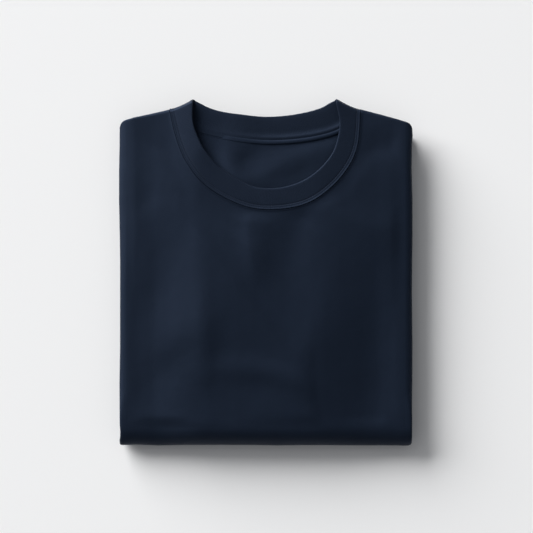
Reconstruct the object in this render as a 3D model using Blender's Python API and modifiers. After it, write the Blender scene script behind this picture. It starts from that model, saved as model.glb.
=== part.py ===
"""Crew neck t-shirt folded for a shelf, built as its cut and sewn pieces.

The front faces up, both sides are turned behind and the lower half is folded up
underneath.  Metres, +Z up.  The collar points towards +Y and the lower fold
towards -Y.  The origin is under the middle of the shirt, which lies on z = 0.

Distances across the cloth are called "across": they follow the cloth round the
side rolls.  "travel" follows it lengthways: negative on top, zero where the
lower fold begins, and past FOLD_ARC on the underside.
"""

import math
from collections import namedtuple

import bmesh
import bpy
from mathutils import Vector

MM = 0.001

# Driving dimensions of the folded shirt; soft folds rise up to 4 mm above its height
FOLDED_WIDTH = 300 * MM
FOLDED_LENGTH = 356.2 * MM
FOLDED_HEIGHT = 28 * MM
JERSEY = 1.6 * MM
RIB = 2.2 * MM
TAPE = 1.2 * MM
SLEEVE_PLY = 1.4 * MM
SEAM_GAP = 0.3 * MM
TURN_GAP = 0.6 * MM
WELD = 0.01 * MM

# Lower fold: half an ellipse seen from the side
FOLD_REACH = 18 * MM
HALF_HEIGHT = FOLDED_HEIGHT / 2
FOLD_Y = FOLD_REACH - FOLDED_LENGTH / 2
FOLD_ARC = math.pi * math.sqrt((FOLD_REACH ** 2 + HALF_HEIGHT ** 2) / 2)

# Side rolls: the front wraps round and returns inwards as a short lip
ROLL_WIDTH = 9 * MM
ROLL_HALF_DEPTH = 6 * MM
ROLL_START = FOLDED_WIDTH / 2 - ROLL_WIDTH
ROLL_ARC = 24 * MM
LIP = 24 * MM
ROLL_FULLNESS = 2.3
CORNER_FULLNESS = 7.0
CORNER_LENGTH = 40 * MM

# Shoulders: front and back meet edge to edge in one rounded end
FLAT_CURL = 2.85 * MM
ROLL_CURL = 1.6 * MM
CURL_END = 0.8 * MM
CURL_CHANGE_START = 118 * MM
CURL_CHANGE_END = 147 * MM

# Back panel: how deep its face lies below the top of the shirt
BACK_DEPTH_AT_NECK = 6.0 * MM
BACK_DEPTH_AT_FOLD = 1.9 * MM
BACK_LEVEL_UNTIL = 105 * MM
BACK_WIDTH = 278 * MM

# Hems of the lower half, on the underside
FRONT_HEM_Y = 142 * MM
BACK_HEM_Y = 139 * MM

# Collar
COLLAR_FOLD_RADIUS = 3.0 * MM
COLLAR_FOLD_Z = FOLDED_HEIGHT - JERSEY / 2 - COLLAR_FOLD_RADIUS
TAPE_WIDTH = 4 * MM
TAPE_LAP = 0.8 * MM
TAPE_CROWN = 0.25 * MM

# Sleeves, folded flat between the two halves
SLEEVE_HEIGHT = 3.4 * MM
SLEEVE_INNER = 118 * MM
SLEEVE_TOP_Y = 143 * MM
SLEEVE_CUFF_Y = -72 * MM
SLEEVE_TOP_REACH = 146 * MM
SLEEVE_CUFF_REACH = 139 * MM
SLEEVE_STEPS = 9
SLEEVE_TURN_STEPS = 6

# The loose stack settles towards its sides and ends, as shares of its height
LEFT_SAG = 0.215
RIGHT_SAG = 0.150
SHOULDER_SAG = 0.052
FOLD_SAG = 0.103
LEFT_SAG_FROM = 66 * MM
RIGHT_SAG_FROM = 44 * MM
SIDE_SAG_UNTIL = 116 * MM
SHOULDER_SAG_FROM = 86 * MM
SHOULDER_SAG_UNTIL = 168 * MM
FOLD_SAG_FROM = -139 * MM

# Where the shoulder line lies, by distance across; both sides differ a little
ShoulderRow = namedtuple("ShoulderRow", "across left_y right_y")
SHOULDER = [ShoulderRow(*row) for row in (
    (0, 171.0, 171.0),
    (98, 167.6, 166.9),
    (107, 165.8, 165.2),
    (118, 163.3, 162.4),
    (137, 159.3, 157.1),
    (147, 155.9, 153.7),
    (153, 149.5, 148.8),
    (165, 147.0, 146.4),
    (189, 142.0, 141.4),
)]

# Neckline of the front, left to right: seam to the panel, and the free rim
NeckRow = namedtuple("NeckRow", "seam_x seam_y rim_x rim_y")
FRONT_NECK = [NeckRow(*row) for row in (
    (-98.2, 163.8, -75.0, 173.8),
    (-94.8, 148.2, -74.8, 154.7),
    (-89.5, 130.8, -68.3, 138.5),
    (-82.0, 114.2, -60.5, 124.5),
    (-66.5, 93.4, -46.5, 108.4),
    (-43.5, 77.1, -27.5, 95.4),
    (-14.5, 66.0, -9.0, 87.6),
    (17.0, 65.1, 14.0, 87.2),
    (45.7, 72.4, 36.3, 93.8),
    (69.5, 89.6, 54.0, 105.8),
    (86.0, 110.2, 67.2, 121.4),
    (93.8, 128.6, 73.0, 136.2),
    (96.3, 147.0, 75.5, 154.0),
    (97.0, 163.1, 71.9, 174.0),
)]

# Neckline of the back, right to left
BACK_NECK = [NeckRow(*row) for row in (
    (94.4, 163.1, 70.2, 176.0),
    (86.0, 151.6, 65.4, 173.4),
    (73.5, 143.4, 56.5, 169.3),
    (53.0, 137.4, 42.5, 165.1),
    (28.0, 133.8, 23.0, 161.6),
    (0.0, 132.8, -1.0, 160.2),
    (-28.0, 135.3, -26.0, 162.6),
    (-54.0, 139.9, -45.0, 165.4),
    (-73.5, 145.6, -58.0, 169.2),
    (-86.5, 153.6, -68.0, 173.2),
    (-95.4, 163.8, -72.6, 175.6),
)]
NECK_SAMPLES = 2

# Where each shoulder seam meets the collar, and the way its fold bulges
ShoulderPoint = namedtuple("ShoulderPoint", "seam_x bulge_x bulge_y")
LEFT_SHOULDER = ShoulderPoint(-98.9, -0.382, 0.66)
RIGHT_SHOULDER = ShoulderPoint(97.5, 0.397, 0.66)
COLLAR_FOLD_STEPS = 6
BAND_STEPS = 3
HALF_TURN_SHARE = 0.35

# Soft folds of the top: a crest, turned by some degrees, how far it slopes off before
# and after that line, and how far its ends bow aside
SoftFold = namedtuple("SoftFold", "x y half_length before after turn bow height")
SOFT_FOLDS = [SoftFold(*row) for row in (
    (-57, -40, 106, 46, 32, -30, 3, 1.72),
    (61, -49, 99, 32, 46, -21, 3, 2.10),
    (2, -102, 50, 12, 13, 78, -7, 1.68),
    (-15, 32, 37, 11, 19, 7, 3, 1.62),
    (31, 44, 38, 20, 16, -15, 0, -1.13),
    (105, 57, 117, 24, 36, 3, -6, 1.17),
    (-126, 16, 50, 46, 20, -15, -4, 1.33),
    (-71, -121, 48, 24, 17, 46, 3, -1.12),
    (116, -92, 77, 25, 18, -2, -8, -2.00),
    (-132, -26, 130, 7, 27, -5, -5, -0.94),
    (-75, -164, 87, 46, 11, 75, 1, 1.08),
    (-11, -63, 117, 39, 40, 87, -8, 1.68),
    (110, 129, 38, 12, 15, 92, 0, -1.79),
    (55, -124, 46, 10, 46, 10, 6, -1.28),
    (-109, 85, 71, 9, 19, 0, 1, 0.98),
    (-101, 65, 20, 26, 17, 62, -7, 1.10),
    (-96, -95, 43, 16, 21, -50, 4, -1.28),
    (-105, -126, 91, 12, 21, 4, 6, 1.47),
    (94, 48, 43, 38, 18, 71, 8, 2.20),
    (-58, -119, 95, 16, 13, -14, -1, -0.55),
    (-61, 105, 121, 7, 9, 65, -2, -0.60),
    (-62, -85, 109, 10, 12, 2, 3, 0.87),
    (-42, 1, 119, 29, 9, 37, -1, 1.33),
    (-102, 94, 19, 46, 19, -77, -4, 1.15),
    (-31, 33, 37, 46, 10, 55, 0, 1.26),
    (89, -108, 72, 23, 28, -70, -1, 0.51),
    (3, -14, 39, 44, 26, 43, 2, 1.46),
)]
FOLD_FADE = 14 * MM

# The one broad rise of the back inside the neck
BACK_FOLDS = [SoftFold(*row) for row in (
    (-10, 96, 90, 21, 27, -79, -4, 2.4),
)]

# The firm neck seam, where the folds of the top die out
NECK_CENTRE_Y = 142 * MM
NECK_HALF_WIDTH = 96.5 * MM
NECK_DROP = 77 * MM
NECK_FADE = 0.2

# Hidden plies in one rounded solid: outline at each height, grooved at its edges
CoreLevel = namedtuple("CoreLevel", "z half_width front_y back_y")
CORE_LEVELS = [CoreLevel(*level) for level in (
    (3.8, 135, -154, 132),
    (4.4, 138, -156, 135),
    (6.2, 138, -156, 135),
    (6.9, 134, -153, 131),
    (7.6, 137, -156, 137),
    (9.3, 137, -156, 137),
    (9.9, 133, -153, 132),
    (10.1, 111, -152, 131),
    (10.9, 115, -155, 138),
    (13.2, 115, -155, 138),
    (13.9, 111, -152, 133),
    (14.6, 115, -155, 142),
    (17.1, 115, -155, 142),
    (17.9, 111, -152, 136),
    (18.1, 133, -153, 136),
    (18.5, 137, -156, 139),
    (19.4, 137, -156, 139),
    (19.8, 134, -154, 137),
)]
CORE_CORNER = 12 * MM
CORE_CORNER_STEPS = 4

# Where the core's flat faces are divided, so that they settle with the rest
CoreCut = namedtuple("CoreCut", "x y")
CORE_CUTS = [CoreCut(*cut) for cut in (
    (-116, -146),
    (-105, -132),
    (-94, -118),
    (-83, -104),
    (-72, -90),
    (-61, -70),
    (46, 55),
    (57, 72),
    (69, 87),
    (81, 102),
    (93, 117),
    (104, 132),
    (116, 147),
)]

# How the panels are divided into sections
SIDE_ROLL_TURNS = (0, 0.17, 0.33, 0.5, 0.67, 0.83, 1)
FRONT_SHOULDER_ACROSS = (114, 130)
BACK_SHOULDER_ACROSS = (114, 130)
FRONT_ROWS = (0.0025, 0.008, 0.0135, 0.018, 0.04, 0.09, 0.15, 0.22, 0.30, 0.38, 0.46, 0.54,
              0.62, 0.69, 0.76, 0.83, 0.88, 0.92, 0.955, 0.98, 1)
BACK_ROWS = (0.0025, 0.008, 0.0135, 0.018, 0.07, 0.16, 0.28, 0.4, 0.52, 0.62, 0.69, 0.76,
             0.83, 0.88, 0.92, 0.955, 0.98, 1)
FOLD_STEPS = 8
UNDERSIDE_STEPS = 7
STRAIGHTEN_BY = 0.45
SPREAD_WITHIN = 130 * MM

NAVY_JERSEY = (0.0105, 0.0176, 0.0330)
NAVY_RIB = (0.0100, 0.0168, 0.0315)
NAVY_TAPE = (0.0120, 0.0195, 0.0350)


def smooth(value):
    """Ease from 0 to 1 and hold at both ends."""
    held = min(max(value, 0.0), 1.0)
    return held * held * (3 - 2 * held)


def mix(start, end, share):
    return start + (end - start) * share


def shoulder_edge(across):
    """Return the y of the shoulder line at a distance across the cloth."""
    distance = abs(across) / MM
    for inner, outer in zip(SHOULDER, SHOULDER[1:]):
        if distance <= outer.across:
            break
    share = (distance - inner.across) / (outer.across - inner.across)
    if across < 0:
        return mix(inner.left_y, outer.left_y, share) * MM
    return mix(inner.right_y, outer.right_y, share) * MM


def shoulder_curl(across):
    """Return the radius at which the cloth turns over at the shoulder."""
    change = (abs(across) - CURL_CHANGE_START) / (CURL_CHANGE_END - CURL_CHANGE_START)
    return mix(FLAT_CURL, ROLL_CURL, smooth(change))


def fold_height(x, y, folds):
    """Add up the soft folds that raise or lower a panel at one point."""
    height = 0.0
    for fold in folds:
        turn = math.radians(fold.turn)
        dx = x / MM - fold.x
        dy = y / MM - fold.y
        lengthways = abs(dy * math.cos(turn) - dx * math.sin(turn)) / fold.half_length
        side = dx * math.cos(turn) + dy * math.sin(turn) - fold.bow * lengthways ** 2
        width = fold.before if side < 0 else fold.after
        height += fold.height * MM * math.exp(-(lengthways ** 2.6) - (side / width) ** 2)
    edge = min(ROLL_START - abs(x), y - FOLD_Y) / FOLD_FADE
    return height * smooth(edge)


def top_relief(x, y):
    """Return how the folds raise the top; they die out at the neck seam."""
    reach = math.hypot(x / NECK_HALF_WIDTH, min(y - NECK_CENTRE_Y, 0.0) / NECK_DROP)
    return fold_height(x, y, SOFT_FOLDS) * smooth((reach - 1) / NECK_FADE)


def settled_share(x, y):
    """Return what share of its height the stack keeps at one point."""
    sag, start = (LEFT_SAG, LEFT_SAG_FROM) if x < 0 else (RIGHT_SAG, RIGHT_SAG_FROM)
    side = sag * smooth((abs(x) - start) / (SIDE_SAG_UNTIL - start))
    shoulder = smooth((y - SHOULDER_SAG_FROM) / (SHOULDER_SAG_UNTIL - SHOULDER_SAG_FROM))
    fold = max((FOLD_SAG_FROM - y) / (FOLD_SAG_FROM + FOLDED_LENGTH / 2), 0.0) ** 2
    return (1 - side) * (1 - SHOULDER_SAG * shoulder - FOLD_SAG * fold)


def place_on_fold(x, travel, depth):
    """Place a point of the cloth, depth being how far it is inside the shirt."""
    turn = math.pi * min(max(travel / FOLD_ARC, 0.0), 1.0)
    flat = max(-travel, 0.0) + max(travel - FOLD_ARC, 0.0)
    left = 1 - depth / HALF_HEIGHT
    y = FOLD_Y + flat - FOLD_REACH * left * math.sin(turn)
    z = HALF_HEIGHT + HALF_HEIGHT * left * math.cos(turn)
    return Vector((x, y, z))


def side_roll(across, travel):
    """Return x, depth, and the way inwards, of the wrapped cross-section."""
    side = math.copysign(1, across)
    past = abs(across) - ROLL_START
    if past <= 0:
        return across, 0.0, 0.0, 1.0
    corner = 1 - smooth((abs(travel - FOLD_ARC / 2) - FOLD_ARC / 2) / CORNER_LENGTH)
    power = 2 / mix(ROLL_FULLNESS, CORNER_FULLNESS, corner)
    turn = math.pi * min(past / ROLL_ARC, 1.0)
    lip = max(past - ROLL_ARC, 0.0)
    out = max(math.sin(turn), 0.0) ** power
    down = 1 - math.copysign(abs(math.cos(turn)) ** power, math.cos(turn))
    x = side * (ROLL_START + ROLL_WIDTH * out - lip)
    return x, ROLL_HALF_DEPTH * down, -side * math.sin(turn), math.cos(turn)


def curl_at(across, length):
    """Return y and the tuck inwards, a length of cloth away from the shoulder."""
    radius = shoulder_curl(across)
    arc = radius * math.pi / 2
    turn = min(max(1 - length / arc, 0.0), 1.0) * math.pi / 2
    y = shoulder_edge(across) - radius * (1 - math.sin(turn)) - max(length - arc, 0.0)
    return y, radius * (1 - math.cos(turn)) + max(-length, 0.0)


def length_to(across, y):
    """Return the length of cloth from the shoulder down to y."""
    radius = shoulder_curl(across)
    return shoulder_edge(across) - y + radius * (math.pi / 2 - 1)


def front_point(across, length):
    """Place a point of the front panel's outer face."""
    y, tuck = curl_at(across, length)
    travel = FOLD_Y - y
    x, depth, inward_x, inward_depth = side_roll(across, travel)
    x += inward_x * tuck
    depth += inward_depth * tuck
    if abs(across) < ROLL_START:
        depth -= top_relief(x, y)
    return place_on_fold(x, travel, depth)


def back_point(across, length):
    """Place a point of the back panel's outer face, which lies underneath."""
    y, tuck = curl_at(across, length)
    share = smooth((BACK_LEVEL_UNTIL - y) / (BACK_LEVEL_UNTIL - FOLD_Y))
    depth = mix(BACK_DEPTH_AT_NECK, BACK_DEPTH_AT_FOLD, share) + JERSEY
    if y > FOLD_Y:
        depth -= fold_height(across, y, BACK_FOLDS) + share * top_relief(across, y)
    return place_on_fold(across, FOLD_Y - y, depth - tuck)


def through(rows, samples):
    """Run a smooth curve through the rows of a neckline table."""
    points = [Vector(row) * MM for row in rows]
    curve = []
    for i in range(len(points) - 1):
        before = points[max(i - 1, 0)]
        start = points[i]
        end = points[i + 1]
        after = points[min(i + 2, len(points) - 1)]
        for step in range(samples):
            t = step / samples
            curve.append(0.5 * (2 * start + (end - before) * t
                                + (2 * before - 5 * start + 4 * end - after) * t ** 2
                                + (3 * start - before - 3 * end + after) * t ** 3))
    curve.append(points[-1])
    return curve


def shoulder_columns(across_values, left, right):
    """Return the shoulder's columns on both sides, each starting at its curl."""
    left_side = [(-value * MM, -CURL_END) for value in reversed(across_values)]
    right_side = [(value * MM, -CURL_END) for value in across_values]
    return left_side + [(left.seam_x * MM, 0.0)], [(right.seam_x * MM, 0.0)] + right_side


def neck_columns(stations):
    """Return one column for each neckline station, left to right, with the
    two turns over the shoulder added at the ends."""
    columns = [(station[0], length_to(station[0], station[1])) for station in stations]
    ends = []
    for corner, column in ((LEFT_SHOULDER, columns[0]), (RIGHT_SHOULDER, columns[-1])):
        half_way = mix(corner.seam_x * MM, column[0], HALF_TURN_SHARE)
        ends.append((half_way, shoulder_curl(half_way) * math.pi / 4))
    return [ends[0]] + columns + [ends[1]]


def panel_sections(columns, rows, hem_y, point):
    """Work out a panel's sections, from its top edge round to its hem."""
    flat = [i for i, column in enumerate(columns) if abs(column[0]) <= SPREAD_WITHIN]
    spread = [column[0] for column in columns]
    for order, i in enumerate(flat):
        share = order / (len(flat) - 1)
        spread[i] = mix(columns[flat[0]][0], columns[flat[-1]][0], share)
    sections = []
    for row in (0,) + rows:
        section = []
        for (across, start), even in zip(columns, spread):
            held = mix(across, even, smooth(row / STRAIGHTEN_BY))
            section.append(point(held, mix(start, length_to(held, FOLD_Y), row)))
        sections.append(section)
    underside = hem_y - FOLD_Y
    travels = [FOLD_ARC * step / FOLD_STEPS for step in range(1, FOLD_STEPS + 1)]
    travels += [FOLD_ARC + underside * step / UNDERSIDE_STEPS
                for step in range(1, UNDERSIDE_STEPS + 1)]
    for travel in travels:
        sections.append([point(even, length_to(even, FOLD_Y) + travel) for even in spread])
    return sections


def make_material(name, colour, roughness):
    material = bpy.data.materials.new(name)
    material.use_nodes = True
    shader = material.node_tree.nodes["Principled BSDF"]
    shader.inputs["Base Color"].default_value = (*colour, 1)
    shader.inputs["Roughness"].default_value = roughness
    shader.inputs["Metallic"].default_value = 0
    shader.inputs["Sheen Weight"].default_value = 0.3
    return material


def add_object(name, bm, material):
    """Turn a bmesh into a named object in the shirt's collection."""
    mesh = bpy.data.meshes.new(name)
    bm.to_mesh(mesh)
    bm.free()
    mesh.materials.append(material)
    item = bpy.data.objects.new(name, mesh)
    shirt.objects.link(item)
    return item


def settle(item):
    """Make an object's modifiers final and let its points settle with the stack."""
    evaluated = item.evaluated_get(bpy.context.evaluated_depsgraph_get())
    mesh = bpy.data.meshes.new_from_object(evaluated)
    item.modifiers.clear()
    item.data = mesh
    for vert in mesh.vertices:
        vert.co.z *= settled_share(vert.co.x, vert.co.y)
    mesh.shade_smooth()
    return item


def make_cloth(name, sections, thickness, offset, material, closed=False):
    """Lay a grid of cloth through the sections and give it its wall.

    An offset of -1 keeps the sections on the outer face and 0 keeps them in
    the middle of the wall.  A closed strip joins its last section to its first.
    """
    bm = bmesh.new()
    across = len(sections[0])
    bmesh.ops.create_grid(bm, x_segments=across - 1, y_segments=len(sections) - 1, size=1)
    bm.verts.ensure_lookup_table()
    for j, section in enumerate(sections):
        for i, place in enumerate(section):
            bm.verts[j * across + i].co = place
    if closed:
        bmesh.ops.remove_doubles(bm, verts=bm.verts, dist=WELD)
    item = add_object(name, bm, material)
    wall = item.modifiers.new("Wall", "SOLIDIFY")
    wall.thickness = thickness
    wall.offset = offset
    wall.use_quality_normals = True
    return settle(item)


def rounded_outline(half_width, low_y, high_y, z):
    """Return the points of a rectangle with rounded corners at one height."""
    centres = ((half_width, high_y, 0), (-half_width, high_y, 1),
               (-half_width, low_y, 2), (half_width, low_y, 3))
    outline = []
    for x, y, quarter in centres:
        corner_x = x - math.copysign(CORE_CORNER, x)
        corner_y = y - math.copysign(CORE_CORNER, y)
        for step in range(CORE_CORNER_STEPS + 1):
            turn = (quarter + step / CORE_CORNER_STEPS) * math.pi / 2
            outline.append((corner_x + CORE_CORNER * math.cos(turn),
                            corner_y + CORE_CORNER * math.sin(turn), z))
    return outline


def make_core():
    """Loft the hidden plies through their outlines, from the lowest to the top."""
    bm = bmesh.new()
    rings = []
    for level in CORE_LEVELS:
        outline = rounded_outline(level.half_width * MM, level.front_y * MM,
                                  level.back_y * MM, level.z * MM)
        rings.append([bm.verts.new(place) for place in outline])
    for lower, upper in zip(rings, rings[1:]):
        for i, corner in enumerate(lower):
            following = (i + 1) % len(lower)
            bm.faces.new((corner, lower[following], upper[following], upper[i]))
    bm.faces.new(reversed(rings[0]))
    bm.faces.new(rings[-1])
    for cut in CORE_CUTS:
        for axis, at in zip((Vector((1, 0, 0)), Vector((0, 1, 0))), cut):
            bmesh.ops.bisect_plane(bm, geom=bm.verts[:] + bm.edges[:] + bm.faces[:],
                                   dist=WELD, plane_co=axis * at * MM, plane_no=axis)
    return settle(add_object("folded_core", bm, jersey))


def make_front():
    turns = [ROLL_START + ROLL_ARC * turn for turn in SIDE_ROLL_TURNS]
    lip_end = ROLL_START + ROLL_ARC + LIP
    across = list(FRONT_SHOULDER_ACROSS) + [value / MM for value in turns + [lip_end]]
    left, right = shoulder_columns(across, LEFT_SHOULDER, RIGHT_SHOULDER)
    columns = left + neck_columns(through(FRONT_NECK, NECK_SAMPLES)) + right
    sections = panel_sections(columns, FRONT_ROWS, FRONT_HEM_Y, front_point)
    sections.reverse()
    return make_cloth("front_panel", sections, JERSEY, -1, jersey)


def make_back():
    across = list(BACK_SHOULDER_ACROSS) + [BACK_WIDTH / 2 / MM]
    left, right = shoulder_columns(across, LEFT_SHOULDER, RIGHT_SHOULDER)
    stations = list(reversed(through(BACK_NECK, NECK_SAMPLES)))
    columns = left + neck_columns(stations) + right
    sections = panel_sections(columns, BACK_ROWS, BACK_HEM_Y, back_point)
    return make_cloth("back_panel", sections, JERSEY, -1, jersey)


def band_width_steps(seam, rim, gap=SEAM_GAP):
    """Return points from the seam, one gap in, across to the rim."""
    start = seam + (rim - seam).normalized() * gap
    return [start.lerp(rim, step / BAND_STEPS) for step in range(BAND_STEPS + 1)]


def collar_fold(corner, front_row, back_row):
    """Turn the band over at one shoulder, from the front down to the back."""
    sections = []
    bulge = Vector((corner.bulge_x, corner.bulge_y, 0))
    front_rim = Vector((front_row.rim_x * MM, front_row.rim_y * MM, COLLAR_FOLD_Z))
    back_rim = Vector((back_row.rim_x * MM, back_row.rim_y * MM, COLLAR_FOLD_Z))
    for step in range(1, COLLAR_FOLD_STEPS):
        turn = math.pi * step / COLLAR_FOLD_STEPS
        axis = front_rim.lerp(back_rim, (1 - math.cos(turn)) / 2)
        swing = COLLAR_FOLD_RADIUS * math.sin(turn)
        lift = Vector((0, 0, COLLAR_FOLD_RADIUS * math.cos(turn)))
        start = front_row if turn < math.pi / 2 else back_row
        seam_x = mix(start.seam_x, corner.seam_x, math.sin(turn)) * MM
        seam = Vector((seam_x, start.seam_y * MM + swing, COLLAR_FOLD_Z)) + lift
        rim = axis + bulge * swing + lift
        sections.append(band_width_steps(seam, rim, TURN_GAP))
    return sections


def make_neckband():
    """Run the rib round the neck as one ring, folded over at both shoulders."""
    front_z = COLLAR_FOLD_Z + COLLAR_FOLD_RADIUS
    back_z = COLLAR_FOLD_Z - COLLAR_FOLD_RADIUS
    sections = []
    for seam_x, seam_y, rim_x, rim_y in through(FRONT_NECK, NECK_SAMPLES):
        seam = Vector((seam_x, seam_y, front_z))
        sections.append(band_width_steps(seam, Vector((rim_x, rim_y, front_z))))
    sections += collar_fold(RIGHT_SHOULDER, FRONT_NECK[-1], BACK_NECK[0])
    for seam_x, seam_y, rim_x, rim_y in through(BACK_NECK, NECK_SAMPLES):
        seam = Vector((seam_x, seam_y, back_z))
        sections.append(band_width_steps(seam, Vector((rim_x, rim_y, back_z))))
    over_left = collar_fold(LEFT_SHOULDER, FRONT_NECK[0], BACK_NECK[-1])
    sections += reversed(over_left)
    sections.append(sections[0])
    return make_cloth("neckband", sections, RIB, 0, rib, closed=True)


def make_tape():
    """Lay the tape over the back neck seam, just clear of band and panel."""
    low_z = COLLAR_FOLD_Z - COLLAR_FOLD_RADIUS + RIB / 2 + SEAM_GAP
    sections = []
    for seam_x, seam_y, rim_x, rim_y in through(BACK_NECK[1:-1], NECK_SAMPLES):
        seam = Vector((seam_x, seam_y, low_z + TAPE))
        up_band = (Vector((rim_x, rim_y, low_z + TAPE)) - seam).normalized()
        start = seam - up_band * TAPE_LAP
        end = start + up_band * TAPE_WIDTH
        crown = Vector((0, 0, TAPE_CROWN))
        sections.append([start, start.lerp(end, 0.5) + crown, end])
    return make_cloth("neck_tape", sections, TAPE, -1, tape)


def make_sleeve(name, side):
    """Fold a flattened sleeve round its outer edge, open towards the middle."""
    middle_z = HALF_HEIGHT
    radius = SLEEVE_HEIGHT / 2
    sections = []
    for step in range(SLEEVE_STEPS + 1):
        share = step / SLEEVE_STEPS
        y = mix(SLEEVE_CUFF_Y, SLEEVE_TOP_Y, share)
        reach = mix(SLEEVE_CUFF_REACH, SLEEVE_TOP_REACH, smooth(share))
        section = [Vector((side * SLEEVE_INNER, y, middle_z - radius))]
        for turn_step in range(SLEEVE_TURN_STEPS + 1):
            turn = math.pi * (turn_step / SLEEVE_TURN_STEPS - 0.5)
            x = reach - radius + radius * math.cos(turn)
            section.append(Vector((side * x, y, middle_z + radius * math.sin(turn))))
        section.append(Vector((side * SLEEVE_INNER, y, middle_z + radius)))
        if side > 0:
            section.reverse()
        sections.append(section)
    return make_cloth(name, sections, SLEEVE_PLY, -1, jersey)


for leftover in list(bpy.data.objects):
    bpy.data.objects.remove(leftover)

shirt = bpy.data.collections.new("folded_crew_neck_tshirt")
bpy.context.scene.collection.children.link(shirt)

jersey = make_material("navy_cotton_jersey", NAVY_JERSEY, 0.9)
rib = make_material("navy_cotton_rib", NAVY_RIB, 0.9)
tape = make_material("navy_jersey_tape", NAVY_TAPE, 0.88)

make_front()
make_back()
make_neckband()
make_tape()
make_sleeve("left_sleeve", -1)
make_sleeve("right_sleeve", 1)
make_core()
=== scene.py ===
"""Looks of the folded crew neck t-shirt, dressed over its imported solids.

Each piece is cut flat, as a maker cuts the cloth, and then laid on the folded shape.
Distances across the cloth are "across"; "along" is the flat pattern's other way, growing
towards the shoulders.  Metres, +Z up, collar towards +Y, lower fold towards -Y.
"""

import math

import bmesh
import bpy
import numpy as np
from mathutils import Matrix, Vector
from mathutils.geometry import delaunay_2d_cdt
from mathutils.kdtree import KDTree


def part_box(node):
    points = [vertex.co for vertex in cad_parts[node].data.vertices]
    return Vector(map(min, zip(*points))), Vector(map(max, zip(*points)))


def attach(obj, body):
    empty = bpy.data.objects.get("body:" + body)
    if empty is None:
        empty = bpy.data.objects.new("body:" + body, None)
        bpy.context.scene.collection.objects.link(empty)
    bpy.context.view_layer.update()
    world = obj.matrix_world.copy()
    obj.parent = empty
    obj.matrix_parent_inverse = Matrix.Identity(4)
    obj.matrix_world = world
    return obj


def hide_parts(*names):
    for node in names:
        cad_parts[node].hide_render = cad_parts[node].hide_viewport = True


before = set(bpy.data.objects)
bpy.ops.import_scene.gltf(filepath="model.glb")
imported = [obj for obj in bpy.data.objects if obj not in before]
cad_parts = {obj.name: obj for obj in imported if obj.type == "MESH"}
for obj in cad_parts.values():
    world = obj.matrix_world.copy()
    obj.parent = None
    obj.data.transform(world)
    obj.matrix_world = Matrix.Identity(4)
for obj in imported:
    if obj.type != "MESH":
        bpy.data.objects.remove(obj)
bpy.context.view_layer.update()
MM = 0.001


# ---------------------------------------------------------------- Front panel
# The front is one piece of navy single jersey.  It faces up, wraps round both sides as soft
# rolls, turns under at the lower fold and ends in a hem on the underside.

front_low, front_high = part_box("front_panel")
PACKED_HEIGHT = 28 * MM
JERSEY = 0.8 * MM
FOLD_REACH = 18 * MM
HALF_HEIGHT = PACKED_HEIGHT / 2
FOLD_Y = front_low.y + FOLD_REACH
FOLD_ARC = math.pi * math.sqrt((FOLD_REACH ** 2 + HALF_HEIGHT ** 2) / 2)
ROLL_WIDTH = 9 * MM
ROLL_HALF_DEPTH = 6 * MM
ROLL_START = front_high.x - ROLL_WIDTH
ROLL_ARC = 24 * MM
LIP = 24 * MM
ROLL_FULLNESS = 2.3
CORNER_FULLNESS = 7.0
CORNER_LENGTH = 40 * MM
FLAT_CURL = 2.85 * MM
ROLL_CURL = 1.6 * MM
CURL_END = 0.8 * MM
CURL_CHANGE = (118 * MM, 147 * MM)
FRONT_HEM_Y = 142 * MM
HEM_DEPTH = 20 * MM
HEM_TURN = 0.8 * MM

# The loose stack settles towards its sides and ends, as shares of its height
LEFT_SAG = 0.215
RIGHT_SAG = 0.150
SHOULDER_SAG = 0.052
FOLD_SAG = 0.103
LEFT_SAG_FROM = 66 * MM
RIGHT_SAG_FROM = 44 * MM
SIDE_SAG_UNTIL = 116 * MM
SHOULDER_SAG_FROM = 86 * MM
SHOULDER_SAG_UNTIL = 168 * MM
FOLD_SAG_FROM = -139 * MM

# The upper left edge settles a little further
EDGE_SAG = 0.09
EDGE_SAG_FROM = 133 * MM
EDGE_SAG_UNTIL = 154 * MM
EDGE_SAG_LOW = -25 * MM
EDGE_SAG_HIGH = 75 * MM

# Shoulder line by distance across, in mm: (across, y on the left, y on the right)
SHOULDER = np.array((
    (0, 171.0, 171.0),
    (98, 168.0, 167.6),
    (107, 165.8, 165.2),
    (118, 163.3, 162.4),
    (137, 159.3, 157.1),
    (147, 155.9, 153.7),
    (153, 149.5, 148.8),
    (165, 147.0, 146.4),
    (189, 142.0, 141.4),
))

# Neckline of the front in mm, left to right: seam x, seam y, rim x, rim y
FRONT_NECK = (
    (-98.2, 163.8, -75.0, 173.8),
    (-94.8, 148.2, -74.8, 154.7),
    (-89.5, 130.8, -69.4, 138.5),
    (-82.0, 114.2, -61.8, 124.5),
    (-66.5, 93.4, -47.2, 108.4),
    (-43.5, 77.1, -27.5, 95.4),
    (-14.5, 66.0, -9.0, 87.6),
    (17.0, 65.1, 14.0, 87.2),
    (45.7, 72.4, 36.3, 93.8),
    (69.5, 89.6, 54.0, 105.8),
    (86.0, 110.2, 67.2, 121.4),
    (93.8, 128.6, 73.0, 136.2),
    (96.3, 147.0, 75.5, 154.0),
    (97.0, 163.1, 71.9, 174.0),
)
LEFT_SHOULDER_X = -98.9 * MM
RIGHT_SHOULDER_X = 97.5 * MM

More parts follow.
